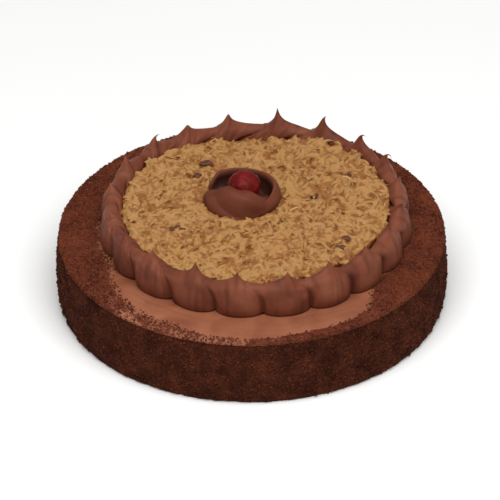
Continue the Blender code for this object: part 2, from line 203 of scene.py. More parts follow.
HOLLOW_RADIUS = 18.6 * MM  # within this and below the next, painted shade darkens the icing of the hollow
HOLLOW_HEIGHT = 8.8 * MM
ROSETTE_VOXEL = 0.34 * MM
CHERRY_AT = Vector((-3.6 * MM, 4.6 * MM, 26.2 * MM + ICING_TOP))
CHERRY_HALF_WIDTH = 8.9 * MM
CHERRY_HALF_HEIGHT = 7.7 * MM


def linear(code, alpha=1):
    """An sRGB hex colour as linear values."""
    parts = [int(code[i : i + 2], 16) / 255 for i in (1, 3, 5)]
    values = [c / 12.92 if c <= 0.04045 else ((c + 0.055) / 1.055) ** 2.4 for c in parts]
    return (*values, alpha)


def connect(tree, node, inputs):
    """Links or sets a node's inputs by name or number."""
    for name, value in inputs.items():
        if isinstance(value, bpy.types.NodeSocket):
            tree.links.new(value, node.inputs[name])
        else:
            node.inputs[name].default_value = value


def add(tree, kind, inputs=(), stops=(), **settings):
    """Adds a node with its settings, sets or links its inputs by name or number, and fills a colour ramp's stops."""
    node = tree.nodes.new(kind)
    for name, value in settings.items():
        setattr(node, name, value)
    connect(tree, node, dict(inputs))
    if stops:
        marks = node.color_ramp.elements
        while len(marks) < len(stops):
            marks.new(0.5)
        for mark, (place, colour) in zip(marks, stops):
            mark.position = place
            mark.color = linear(colour) if isinstance(colour, str) else (colour, colour, colour, 1)
    return node


def ramp(tree, value, stops):
    """The colour that a ramp with these stops gives to a value."""
    return add(tree, "ShaderNodeValToRGB", {"Fac": value}, stops=stops).outputs["Color"]


def times_plus(tree, value, factor, addend):
    """The value times the factor, plus the addend."""
    return add(tree, "ShaderNodeMath", {0: value, 1: factor, 2: addend}, operation="MULTIPLY_ADD").outputs[0]


def new_material(name):
    """An empty material and its tree, Principled shader and place input."""
    material = bpy.data.materials.new(name)
    material.use_nodes = True
    tree = material.node_tree
    shader = tree.nodes["Principled BSDF"]
    place = add(tree, "ShaderNodeTexCoord").outputs["Object"]
    return material, tree, shader, place


def on_cake(azimuth, radius, height):
    """A point at this azimuth, clockwise from the back seen from above."""
    return Vector((radius * math.sin(azimuth), radius * math.cos(azimuth), height))


def on_ring(azimuth, radius, height):
    """The same, about the middle of the piped ring."""
    return on_cake(azimuth, radius, height) + Vector((*RING_MIDDLE, 0))


def rough(spot, size):
    """Bumps of about this size at this spot, from -1 to 1."""
    return noise.noise(spot / size) + 0.6 * noise.noise(2.1 * spot / size + Vector((7, 3, 1)))


def clamp(value):
    return max(0.0, min(1.0, value))


def skin(rows, row_closed=True, rows_closed=False, caps=()):
    """Vertices and faces of a skin over rows of points. caps names the rows that a flat face closes."""
    across = len(rows[0])
    points = [p for row in rows for p in row]
    faces = []
    for r in range(len(rows) if rows_closed else len(rows) - 1):
        s = (r + 1) % len(rows)
        for c in range(across if row_closed else across - 1):
            d = (c + 1) % across
            faces.append((r * across + c, r * across + d, s * across + d, s * across + c))
    for r in caps:
        ring = [(r % len(rows)) * across + c for c in range(across)]
        faces.append(tuple(ring))
    return points, faces


def place_piece(name, mesh, material, stands_for=()):
    """The mesh as a finished, smooth piece of the cake that rides on its body."""
    mesh.shade_smooth()
    mesh.materials.clear()
    mesh.materials.append(material)
    mesh.name = name
    piece = bpy.data.objects.new(name, mesh)
    bpy.context.scene.collection.objects.link(piece)
    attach(piece, "root")
    if stands_for:
        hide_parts(*stands_for)
    return piece


def mesh_of(name, bm):
    """What the bmesh holds, as a mesh. The bmesh is freed."""
    mesh = bpy.data.meshes.new(name)
    bm.to_mesh(mesh)
    bm.free()
    return mesh


def mesh_from(name, points, faces):
    """A mesh of these points and faces, all facing outwards."""
    bm = bmesh.new()
    corners = [bm.verts.new(p) for p in points]
    for face in faces:
        bm.faces.new([corners[i] for i in face])
    bmesh.ops.recalc_face_normals(bm, faces=bm.faces[:])
    return mesh_of(name, bm)


# Scattering


def scatter_tree(name):
    """Geometry nodes that lay shapes from a collection over a surface, as thickly as its amount attribute says. Each
    one gets a random size, a random turn on the surface, a tilt, and a number from 0 to 1 in the attribute shade."""
    tree = bpy.data.node_groups.new(name, "GeometryNodeTree")
    sockets = [
        ("Surface", "NodeSocketGeometry"),
        ("Shapes", "NodeSocketCollection"),
        ("Number per square metre", "NodeSocketFloat"),
        ("Smallest", "NodeSocketFloat"),
        ("Largest", "NodeSocketFloat"),
        ("Tilt", "NodeSocketFloat"),
        ("Lowest", "NodeSocketFloat"),
        ("Highest", "NodeSocketFloat"),
        ("Seed", "NodeSocketInt"),
        ("Material", "NodeSocketMaterial"),
    ]
    for label, kind in sockets:
        tree.interface.new_socket(label, in_out="INPUT", socket_type=kind)
    tree.interface.new_socket("Pieces", in_out="OUTPUT", socket_type="NodeSocketGeometry")
    given = add(tree, "NodeGroupInput").outputs

    amount = add(tree, "GeometryNodeInputNamedAttribute", {"Name": "amount"}, data_type="FLOAT")
    thickness = add(
        tree,
        "ShaderNodeMath",
        {0: amount.outputs["Attribute"], 1: given["Number per square metre"]},
        operation="MULTIPLY",
    )
    spread = add(
        tree,
        "GeometryNodeDistributePointsOnFaces",
        {"Mesh": given["Surface"], "Density": thickness.outputs[0], "Seed": given["Seed"]},
        distribute_method="RANDOM",
    )
    lean_back = add(tree, "ShaderNodeMath", {0: given["Tilt"], 1: -1.0}, operation="MULTIPLY").outputs[0]
    lowest_turn = add(tree, "ShaderNodeCombineXYZ", {"X": lean_back, "Y": lean_back, "Z": 0.0})
    highest_turn = add(tree, "ShaderNodeCombineXYZ", {"X": given["Tilt"], "Y": given["Tilt"], "Z": TURN})
    turn = add(
        tree,
        "FunctionNodeRandomValue",
        {"Min": lowest_turn.outputs[0], "Max": highest_turn.outputs[0], "Seed": 3},
        data_type="FLOAT_VECTOR",
    )
    as_rotation = add(tree, "FunctionNodeEulerToRotation", {"Euler": turn.outputs["Value"]})
    rotation = add(
        tree,
        "FunctionNodeRotateRotation",
        {"Rotation": spread.outputs["Rotation"], "Rotate By": as_rotation.outputs["Rotation"]},
        rotation_space="LOCAL",
    )
    size = add(
        tree,
        "FunctionNodeRandomValue",
        {2: given["Smallest"], 3: given["Largest"], "Seed": 5},
        data_type="FLOAT",
    )
    shapes = add(
        tree,
        "GeometryNodeCollectionInfo",
        {"Collection": given["Shapes"], "Separate Children": True, "Reset Children": True},
    )
    laid = add(
        tree,
        "GeometryNodeInstanceOnPoints",
        {
            "Points": spread.outputs["Points"],
            "Instance": shapes.outputs[0],
            "Pick Instance": True,
            "Rotation": rotation.outputs["Rotation"],
            "Scale": size.outputs[1],
        },
    )
    lift = add(
        tree, "FunctionNodeRandomValue", {2: given["Lowest"], 3: given["Highest"], "Seed": 7}, data_type="FLOAT"
    )
    offset = add(tree, "ShaderNodeCombineXYZ", {"Z": lift.outputs[1]})
    sunk = add(
        tree,
        "GeometryNodeTranslateInstances",
        {"Instances": laid.outputs[0], "Translation": offset.outputs[0], "Local Space": True},
    )
    shade = add(tree, "FunctionNodeRandomValue", {2: 0.0, 3: 1.0, "Seed": 11}, data_type="FLOAT")
    marked = add(
        tree,
        "GeometryNodeStoreNamedAttribute",
        {"Geometry": sunk.outputs[0], "Name": "shade", "Value": shade.outputs[1]},
        data_type="FLOAT",
        domain="INSTANCE",
    )
    real = add(tree, "GeometryNodeRealizeInstances", {"Geometry": marked.outputs[0]})
    finished = add(tree, "GeometryNodeSetMaterial", {"Geometry": real.outputs[0], "Material": given["Material"]})
    add(tree, "NodeGroupOutput", {0: finished.outputs[0]})
    return tree


def scattered(name, surface, shapes, material, number, sizes, tilt, depths, seed):
    """The mesh of the shapes as the scatter tree lays them over the surface mesh: how many for each square metre, the
    smallest and largest scale, the most tilt in radians, and the lowest and highest place over the surface."""
    kit = bpy.data.collections.new(name + "_shapes")
    bpy.context.scene.collection.children.link(kit)
    for i, shape in enumerate(shapes):
        kit.objects.link(bpy.data.objects.new(f"{name}_shape_{i}", shape))
    holder = bpy.data.objects.new(name + "_surface", surface)
    bpy.context.scene.collection.objects.link(holder)
    tree = bpy.data.node_groups.get("scatter") or scatter_tree("scatter")
    modifier = holder.modifiers.new("scatter", "NODES")
    modifier.node_group = tree
    values = {
        "Shapes": kit,
        "Material": material,
        "Number per square metre": number,
        "Smallest": sizes[0],
        "Largest": sizes[1],
        "Tilt": tilt,
        "Lowest": depths[0] * MM,
        "Highest": depths[1] * MM,
        "Seed": seed,
    }
    for socket in tree.interface.items_tree:
        if socket.in_out == "INPUT" and socket.name in values:
            modifier[socket.identifier] = values[socket.name]
    bpy.context.view_layer.update()
    mesh = bpy.data.meshes.new_from_object(holder.evaluated_get(bpy.context.evaluated_depsgraph_get()))
    for extra in [holder, *kit.objects]:
        bpy.data.objects.remove(extra, do_unlink=True)
    bpy.data.collections.remove(kit)
    return mesh


def merged(mesh, voxel, rounds, kept=1.0):
    """One closed skin round all that the mesh holds, with its edges softened and this share of its triangles kept."""
    form = bpy.data.objects.new("form", mesh)
    bpy.context.scene.collection.objects.link(form)
    remesh = form.modifiers.new("merge", "REMESH")
    remesh.mode = "VOXEL"
    remesh.voxel_size = voxel
    soften = form.modifiers.new("soften", "SMOOTH")
    soften.iterations = rounds
    if kept < 1:
        form.modifiers.new("thin_out", "DECIMATE").ratio = kept
    bpy.context.view_layer.update()
    made = bpy.data.meshes.new_from_object(form.evaluated_get(bpy.context.evaluated_depsgraph_get()))
    bpy.data.objects.remove(form, do_unlink=True)
    return made


def with_amount(mesh, amount):
    """A copy of the mesh whose amount attribute is set at each vertex by a function of its place and normal."""
    copy = mesh.copy()
    attribute = copy.attributes.new("amount", "FLOAT", "POINT")
    for vertex, value in zip(copy.vertices, attribute.data):
        value.value = amount(vertex.co, vertex.normal)
    return copy


# Materials


def chocolate_crumb_material(name, dark, middle, light):
    """Chocolate sponge rubbed to crumbs: dry and porous, so it has no shine, and dark brown with paler grains."""
    material, tree, shader, place = new_material(name)
    grains = add(tree, "ShaderNodeTexNoise", {"Vector": place, "Scale": 620.0, "Detail": 3.0, "Roughness": 0.6})
    patches = add(tree, "ShaderNodeTexNoise", {"Vector": place, "Scale": 90.0, "Detail": 2.0})
    shade = add(tree, "ShaderNodeAttribute", attribute_name="shade")
    grain_and_patch = add(
        tree, "ShaderNodeMath", {0: grains.outputs["Fac"], 1: patches.outputs["Fac"]}, operation="MULTIPLY"
    )
    tone = times_plus(tree, shade.outputs["Fac"], 0.16, grain_and_patch.outputs[0])
    colour = ramp(tree, tone, [(0.12, dark), (0.28, middle), (0.5, light)])
    bump = add(tree, "ShaderNodeBump", {"Height": grains.outputs["Fac"], "Strength": 0.7, "Distance": 0.6 * MM})
    look = {
        "Base Color": colour,
        "Normal": bump.outputs["Normal"],
        "Roughness": 0.9,
        "Specular IOR Level": 0.08,
    }
    connect(tree, shader, look)
    return material


def chocolate_icing_material(name, light, middle, dark, shine):
    """Whipped chocolate icing, spread or piped: fatty and smooth, so it has a soft satin sheen, lets a little light
    in, and shows faint streaks of darker chocolate. Fine crumbs darken and dull it where its dust attribute says so.
    Its other attribute darkens it with painted shade in crevices and hollows, and with darker streaks."""
    material, tree, shader, place = new_material(name)
    clouds = add(tree, "ShaderNodeTexNoise", {"Vector": place, "Scale": 45.0, "Detail": 4.0, "Distortion": 0.8})
    pores = add(tree, "ShaderNodeTexNoise", {"Vector": place, "Scale": 900.0, "Detail": 2.0})
    colour = ramp(tree, clouds.outputs["Fac"], [(0.3, dark), (0.5, middle), (0.7, light)])
    dust = add(tree, "ShaderNodeAttribute", attribute_name="dust")
    specks = add(tree, "ShaderNodeTexNoise", {"Vector": place, "Scale": 520.0, "Detail": 3.0})
    dusted = times_plus(tree, dust.outputs["Fac"], 1.15, specks.outputs["Fac"])
    cover = add(tree, "ShaderNodeMapRange", {"Value": dusted, "From Min": 0.85, "From Max": 1.1})
    crumbed = add(
        tree,
        "ShaderNodeMix",
        {"Factor": cover.outputs["Result"], 6: colour, 7: linear("#633324")},
        data_type="RGBA",
    )
    # Painted shade in crevices and hollows, and darker streaks, pull the colour towards a near-black brown
    shade_and_streak_input = add(tree, "ShaderNodeAttribute", attribute_name="painted_shade_and_streaks")
    painted_shade_and_streaks = add(
        tree,
        "ShaderNodeMix",
        {"Factor": shade_and_streak_input.outputs["Fac"], 6: crumbed.outputs[2], 7: linear("#2c120a")},
        data_type="RGBA",
    )
    gloss = add(tree, "ShaderNodeMapRange", {"Value": clouds.outputs["Fac"], "To Min": 0.4, "To Max": 0.56})
    dull = times_plus(tree, cover.outputs["Result"], 0.4, gloss.outputs["Result"])
    bump = add(tree, "ShaderNodeBump", {"Height": pores.outputs["Fac"], "Strength": 0.12, "Distance": 0.4 * MM})
    look = {
        "Base Color": painted_shade_and_streaks.outputs[2],
        "Normal": bump.outputs["Normal"],
        "Roughness": dull,
        "Subsurface Weight": 0.12,
        "Subsurface Radius": (1.0, 0.45, 0.25),
        "Subsurface Scale": 1.6 * MM,
        "Specular IOR Level": shine,
    }
    connect(tree, shader, look)
    return material


def filling_material():
    """Shredded coconut cooked in egg and caramel custard: sticky, moist and half clear. Each shred has its own tan from
    its shade attribute, painted paler along the left edge as painted light, and where the standing attribute is low,
    between the shreds, it is a deeper orange brown, partly the custard's own colour and partly painted shade."""
    material, tree, shader, place = new_material("coconut_in_caramel_custard")
    standing = add(tree, "ShaderNodeAttribute", attribute_name="standing")
    shade = add(tree, "ShaderNodeAttribute", attribute_name="shade")
    blots = add(tree, "ShaderNodeTexNoise", {"Vector": place, "Scale": 110.0, "Detail": 4.0})
    fine = add(tree, "ShaderNodeTexNoise", {"Vector": place, "Scale": 520.0, "Detail": 2.0})
    tone = 0.0
    for weight, part in ((0.42, standing), (0.4, shade), (0.65, blots), (0.2, fine)):
        tone = times_plus(tree, part.outputs["Fac"], weight, tone)
    colour = ramp(tree, tone, [(0.42, "#6f3e1b"), (0.64, "#85552b"), (0.86, "#946437"), (1.0, "#a97e4c")])
    bump = add(tree, "ShaderNodeBump", {"Height": fine.outputs["Fac"], "Strength": 0.35, "Distance": 0.4 * MM})
    look = {
        "Base Color": colour,
        "Normal": bump.outputs["Normal"],
        "Roughness": 0.42,
        "Subsurface Weight": 0.4,
        "Subsurface Radius": (1.0, 0.5, 0.18),
        "Subsurface Scale": 2.2 * MM,
        "Specular IOR Level": 0.14,
    }
    connect(tree, shader, look)
    return material


def coconut_material():
    """Loose ends of shredded coconut lying on the custard, each its own tan, coated and a little glossy."""
    material, tree, shader, place = new_material("caramel_coated_coconut")
    shade = add(tree, "ShaderNodeAttribute", attribute_name="shade")
    mottle = add(tree, "ShaderNodeTexNoise", {"Vector": place, "Scale": 260.0, "Detail": 2.0})
    tone = times_plus(tree, shade.outputs["Fac"], 0.6, mottle.outputs["Fac"])
    colour = ramp(tree, tone, [(0.3, "#936331"), (0.6, "#a0703c"), (0.88, "#ac7e48"), (1.0, "#b98f58")])
    look = {
        "Base Color": colour,
        "Roughness": 0.36,
        "Subsurface Weight": 0.35,
        "Subsurface Radius": (1.0, 0.6, 0.25),
        "Subsurface Scale": 1.5 * MM,
    }
    connect(tree, shader, look)
    return material


def pecan_material():
    """Chopped pecan softened in the custard: red brown with a darker papery skin, slightly shiny."""
    material, tree, shader, place = new_material("cooked_pecan")
    grain = add(tree, "ShaderNodeTexNoise", {"Vector": place, "Scale": 380.0, "Detail": 3.0, "Distortion": 1.0})
    colour = ramp(tree, grain.outputs["Fac"], [(0.35, "#4c2c20"), (0.55, "#633c2b"), (0.75, "#7f5542")])
    bump = add(tree, "ShaderNodeBump", {"Height": grain.outputs["Fac"], "Strength": 0.6, "Distance": 0.5 * MM})
    look = {
        "Base Color": colour,
        "Normal": bump.outputs["Normal"],
        "Roughness": 0.5,
        "Specular IOR Level": 0.1,
    }
    connect(tree, shader, look)
    return material


def cherry_material():
    """A cherry candied in syrup: clear deep red flesh under a wet skin, painted darker as painted shade where the fine
    folds of its skin dip.
    """
    material, tree, shader, place = new_material("candied_cherry")
    folds = add(tree, "ShaderNodeTexNoise", {"Vector": place, "Scale": 150.0, "Detail": 2.0, "Distortion": 0.4})
    colour = ramp(tree, folds.outputs["Fac"], [(0.3, "#460907"), (0.5, "#620f0c"), (0.7, "#761411")])
    bump = add(tree, "ShaderNodeBump", {"Height": folds.outputs["Fac"], "Strength": 0.2, "Distance": 0.8 * MM})
    look = {
        "Base Color": colour,
        "Normal": bump.outputs["Normal"],
        "Roughness": 0.42,
        "Subsurface Weight": 0.3,
        "Subsurface Radius": (1.0, 0.12, 0.1),
        "Subsurface Scale": 2.5 * MM,
        "Specular IOR Level": 0.12,
    }
    connect(tree, shader, look)
    return material


# The cake and its coat of crumbs


def crumb_shapes(segments, rings):
    """A few angular grains, about 1 mm across before they are scaled."""
    rng = random.Random(31)
    shapes = []
    for i in range(5):
        bm = bmesh.new()
        bmesh.ops.create_uvsphere(bm, u_segments=segments, v_segments=rings, radius=0.5 * MM)
        for vertex in bm.verts:
            vertex.co *= rng.uniform(0.7, 1.3)
            vertex.co.z *= rng.uniform(0.75, 1.0)
        shapes.append(mesh_of(f"grain_{i}", bm))
    return shapes


def crumb_relief(spot):
    """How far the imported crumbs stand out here: clumps of 8 mm, crumbs of 2 mm and grains under 1 mm."""
    return (
        0.45 * noise.noise(spot / (8 * MM))
        + 0.42 * noise.noise(spot / (2.6 * MM))
        + 0.3 * noise.noise(spot / (1.2 * MM))
    ) * MM


def build_cake(material):
    around = 840
    levels = 44
    rows = []
    for level in range(levels + 1):
        height = CAKE_HEIGHT * level / levels
        radius = CAKE_RADIUS + CAKE_BULGE * math.sin(math.pi * level / levels) ** 0.7
        at_foot = 0.5 * MM * (level == 0)
        row = []
        for i in range(around):
            azimuth = i * TURN / around
            relief = crumb_relief(on_cake(azimuth, radius, height))
            row.append(on_cake(azimuth, radius + relief - at_foot, height))
        rows.append(row)
    mesh = mesh_from("cake", *skin(rows, caps=(0, -1)))
    side = with_amount(mesh, lambda place, normal: clamp((place.z - 1.4 * MM) / (0.3 * MM)))
    place_piece("crumb_coated_sponge", mesh, material, ["crumb_coated_cake"])

    bm = bmesh.new()
    bm.from_mesh(side)
    bmesh.ops.delete(bm, geom=[f for f in bm.faces if len(f.verts) > 4], context="FACES_ONLY")
    bm.to_mesh(side)
    bm.free()
    grains = scattered(
        "side_crumbs",
        side,
        crumb_shapes(5, 3),
        material,
        number=380000.0,
        sizes=(0.7, 2.0),
        tilt=1.5,
        depths=(-0.25, 0.3),
        seed=2,
    )
    place_piece("side_crumbs", grains, material)


# The smooth layer of icing on the top


def crumb_cover(azimuth, radius):
    """How thickly crumbs lie on the icing's margin, from 0 to 1."""
    degrees = math.degrees(azimuth) % 360
    for (from_here, reach, cover), (to_there, next_reach, next_cover) in zip(RIM_CRUMBS, RIM_CRUMBS[1:]):
        if degrees <= to_there:
            share = (degrees - from_here) / (to_there - from_here)
            reach += (next_reach - reach) * share
            cover += (next_cover - cover) * share
            break
    return clamp(2.5 * (1 - (ICING_RADIUS - radius) / (reach * MM))) * cover


def icing_level(azimuth, radius):
    """The spread icing dips towards the rim in soft strokes that run round the cake."""
    inset = ICING_RADIUS - radius
    dip = 0.5 * MM * max(0, 1 - inset / (8 * MM)) * (1 + 0.4 * math.sin(5 * azimuth + 1.1))
    along = azimuth * ICING_RADIUS
    stroke = noise.noise(Vector((along / (26 * MM), radius / (2.4 * MM), 0)))
    ripple = noise.noise(Vector((along / (9 * MM), radius / (1.1 * MM), 5)))
    edge = clamp(inset / (1.5 * MM))
    return ICING_TOP - dip + edge * (0.22 * stroke + 0.08 * ripple) * MM


def build_top_icing(icing, crumbs):
    around = 720
    rows = [
        [on_cake(i * TURN / around, ICING_RADIUS - 0.6 * MM, CAKE_HEIGHT - 0.2 * MM) for i in range(around)],
    ]
    for height, inset in ((0.6, 0.1), (1.2, 0.0), (1.9, 0.15)):
        row = []
        for i in range(around):
            azimuth = i * TURN / around
            wave = 0.35 * MM * noise.noise(on_cake(azimuth, ICING_RADIUS, height * MM) / (4 * MM))
            row.append(on_cake(azimuth, ICING_RADIUS - inset * MM + wave, CAKE_HEIGHT + GAP + height * MM))
        rows.append(row)
    insets = [0.7 + 0.62 * step for step in range(32)] + [24, 30, 40, 60, 85]
    for inset in insets:
        radius = ICING_RADIUS - inset * MM
        row = []
        for i in range(around):
            azimuth = i * TURN / around
            relief = 0.9 * crumb_cover(azimuth, radius) * abs(crumb_relief(on_cake(azimuth, radius, 0)))
            row.append(on_cake(azimuth, radius, icing_level(azimuth, radius) + relief))
        rows.append(row)
    mesh = mesh_from("icing", *skin(rows, caps=(0, -1)))

    def amount(place, normal):
        azimuth = math.atan2(place.x, place.y)
        radius = math.hypot(place.x, place.y)
        if normal.z < -0.5 or radius < 80 * MM:
            return 0.0
        cover = crumb_cover(azimuth, radius)
        clumps = clamp(0.75 + 1.3 * noise.noise(place / (6 * MM)))
        return cover * (cover + (1 - cover) * clumps)

    margin = with_amount(mesh, amount)
    dust = mesh.attributes.new("dust", "FLOAT", "POINT")
    for vertex, value in zip(mesh.vertices, dust.data):
        value.value = amount(vertex.co, vertex.normal)
    place_piece("spread_icing", mesh, icing, ["top_icing"])
    grains = scattered(
        "margin_crumbs",
        margin,
        crumb_shapes(4, 2),
        crumbs,
        number=1900000.0,
        sizes=(0.5, 1.7),
        tilt=1.5,
        depths=(-0.2, 0.3),
        seed=4,
    )
    place_piece("margin_crumbs", grains, crumbs)


# The piped border


def border_centre(azimuth):
    """The ring isn't quite round: its centre line wanders a little."""
    return BORDER_RADIUS + 0.5 * MM * math.sin(2 * azimuth + 1) + 0.3 * MM * math.sin(3 * azimuth)


def section_offset(phi):
    """How far out, from -1 to 1, and how high, from 0 to 1, a section of the border is at this angle over its crest."""
    lean = math.cos(phi)
    return math.copysign(abs(lean) ** BOXINESS, lean), max(0, math.sin(phi)) ** BOXINESS


def border_point(dollop, width, share, phi, half_pitch):
    """A point of the border's skin. share runs from -0.5 to 0.5 across one dollop, and phi from 0 at the outer foot
    over the crest to pi at the inner foot."""
    place, peak, bend, hook, outward, blunt = dollop
    swell = math.sqrt(1 - (1.94 * share) ** 2)
    side, lift = section_offset(phi)
    azimuth = math.radians(place) + 2 * share * half_pitch

    # Ridges that the nozzle left along the ring, streaks pulled up to the peak, and a groove where dollops meet
    waver = noise.noise(on_cake(azimuth, BORDER_RADIUS, 6 * phi * MM) / (7 * MM))
    ridge = PIPING_RIDGE * math.sin(9 * phi + 3 * waver) * lift
    streak = PULLED_STREAK * math.sin(5.5 * TURN * share + 2.5 * waver + place) * lift
    off_crest = 1 - math.sin(phi) ** 6
    depth = OUTER_CREVICE if side > 0 else INNER_CREVICE
    groove = depth * math.exp(-(((0.5 - abs(share)) / CREVICE_WIDTH) ** 2)) * lift * off_crest
    lumps = 0.35 * MM * noise.noise(on_cake(azimuth, BORDER_RADIUS, 9 * phi * MM) / (9 * MM))
    relief = ridge + streak * off_crest - groove + lumps
    if side < 0:
        relief -= OVERLAP * (2 * share) ** 3 * lift * off_crest

    notch = (1 - swell) * (1 - lift**2)
    if side > 0:
        out = side * (OUTER_HALF_WIDTH * width * (1 - 1.12 * notch) + relief)
    else:
        out = side * (INNER_HALF_WIDTH * width * (1 - 0.7 * notch) + relief)
    sag = BORDER_SAG * max(0.0, math.cos(azimuth - SAG_AT))
    level = (BORDER_HEIGHT * (0.97 + 0.03 * math.cos(TURN * share) - sag) + relief) * lift
    out *= 0.86 + 0.14 * min(1, level / (4 * MM))

    off_peak = math.hypot(2 * share * half_pitch * BORDER_RADIUS, out, blunt * MM) - blunt * MM
    spike = 0.52 * math.exp(-off_peak / PEAK_NEEDLE) + 0.48 * math.exp(-off_peak / PEAK_SKIRT)
    rise = peak * MM * (spike - 0.05 * hook * spike**9)
    fall = 1 - math.sin(phi)
    swing = CREVICE_SWING * abs(2 * share) ** 1.5
    if side > 0:
        azimuth += swing * (1 - fall) ** 3
    else:
        azimuth += swing * math.cos(math.pi * min(1, fall / 0.5)) - CREVICE_SLANT * fall**0.8
    radius = border_centre(azimuth) + out + outward * spike**1.6 * MM
    height = ICING_TOP + level + rise * lift
    return on_ring(azimuth + (bend * spike**2 + hook * spike**5) * MM / radius, radius, height)


def crevice_shade_and_streaks(place, share, phi):
    """How much darker the icing is here, from 0 to 1: painted shade along the crevices, strongest on the inner face,
    and darker streaks that run up to the peak."""
    crevice = math.exp(-(((0.5 - abs(share)) / CREVICE_SHADE_WIDTH) ** 2)) * (1 - math.sin(phi) ** 6)
    streak = noise.noise(Vector((11 * share, 0.7 * phi, place)))
    crevice *= INNER_CREVICE_SHADE if phi > math.pi / 2 else OUTER_CREVICE_SHADE
    return clamp(crevice + STREAK_DARKNESS * max(0.0, streak))


def build_border(material):
    steps = 40
    shares = [0.5 * math.copysign(abs(t) ** 1.35, t) for t in (2 * s / steps - 1 for s in range(steps))]
    count = 84
    phis = []
    for c in range(count + 1):
        t = 2 * c / count - 1
        phis.append(math.pi / 2 * (1 + math.copysign(abs(t) ** 1.25, t)))
    rng = random.Random(21)
    rows = []
    shade_and_streak_values = []
    for k, dollop in enumerate(DOLLOPS):
        width = rng.uniform(0.94, 1.04)
        before = math.radians((dollop[0] - DOLLOPS[k - 1][0]) % 360) / 2
        after = math.radians((DOLLOPS[(k + 1) % len(DOLLOPS)][0] - dollop[0]) % 360) / 2
        for share in shares:
            half_pitch = before if share < 0 else after
            rows.append([border_point(dollop, width, share, phi, half_pitch) for phi in phis])
            shade_and_streak_values += [crevice_shade_and_streaks(dollop[0], share, phi) for phi in phis]
    mesh = mesh_from("border", *skin(rows, rows_closed=True))
    # Painted shade in the crevices, and darker streaks, go to the icing's material
    painted_shade_and_streaks = mesh.attributes.new("painted_shade_and_streaks", "FLOAT", "POINT")
    painted_shade_and_streaks.data.foreach_set("value", shade_and_streak_values)
    place_piece("piped_icing_ring", mesh, material, ["piped_border"])


# The filling


def filling_level(spot):
    """Height of the filling above the icing: a low dome with lumps, and a level seat under the rosette."""
    from_middle = spot - RING_MIDDLE
    across = min(1, from_middle.length / BORDER_RADIUS)
    azimuth = math.atan2(from_middle.x, from_middle.y)
    edge = FILLING_EDGE_HEIGHT + FILLING_EDGE_TILT * math.cos(azimuth - HEAPED_SIDE)
    edge -= BACK_DIP * math.exp(-(((azimuth - DIP_AT) / DIP_SPAN) ** 2))
    dome = FILLING_CENTRE_HEIGHT + (edge - FILLING_CENTRE_HEIGHT) * across**2.4
    flat = Vector((spot.x, spot.y, 0))
    lumps = LUMP_HEIGHT * rough(flat, LUMP_SIZE) + 0.5 * MM * noise.noise(flat / (2.3 * MM))
    blend = clamp(((spot - ROSETTE_AT).length - SEAT_RADIUS + 2 * MM) / (4 * MM))
    return ROSETTE_SEAT + blend * (dome + lumps - ROSETTE_SEAT)


def filling_bed():
    """The filling without its shreds, as a closed mesh."""
    around = 420
    edge = BORDER_RADIUS - 5.6 * MM

    def ragged(azimuth):
        spot = on_cake(azimuth, edge, 0)
        return edge + 0.8 * MM * noise.noise(spot / (18 * MM)) + 0.5 * MM * noise.noise(spot / (5 * MM))

    azimuths = [i * TURN / around for i in range(around)]
    rows = [[on_ring(a, ragged(a) - 2.5 * MM, ICING_TOP) for a in azimuths]]
    for drop, inset in ((9, 1.6), (5, 0.9), (2.6, 0.35), (1.0, 0.1)):
        row = []
        for a in azimuths:
            radius = ragged(a) - inset * MM
            level = filling_level(on_ring(a, radius, 0).xy) - drop * MM
            row.append(on_ring(a, radius, ICING_TOP + level))
        rows.append(row)
    rings = 110
    for r in range(rings):
        share = 1 - (r + 0.6) / (rings + 0.6)
        row = []
        for a in azimuths:
            radius = ragged(a) * share
            row.append(on_ring(a, radius, ICING_TOP + filling_level(on_ring(a, radius, 0).xy)))
        rows.append(row)
    return mesh_from("filling", *skin(rows, caps=(0, -1)))


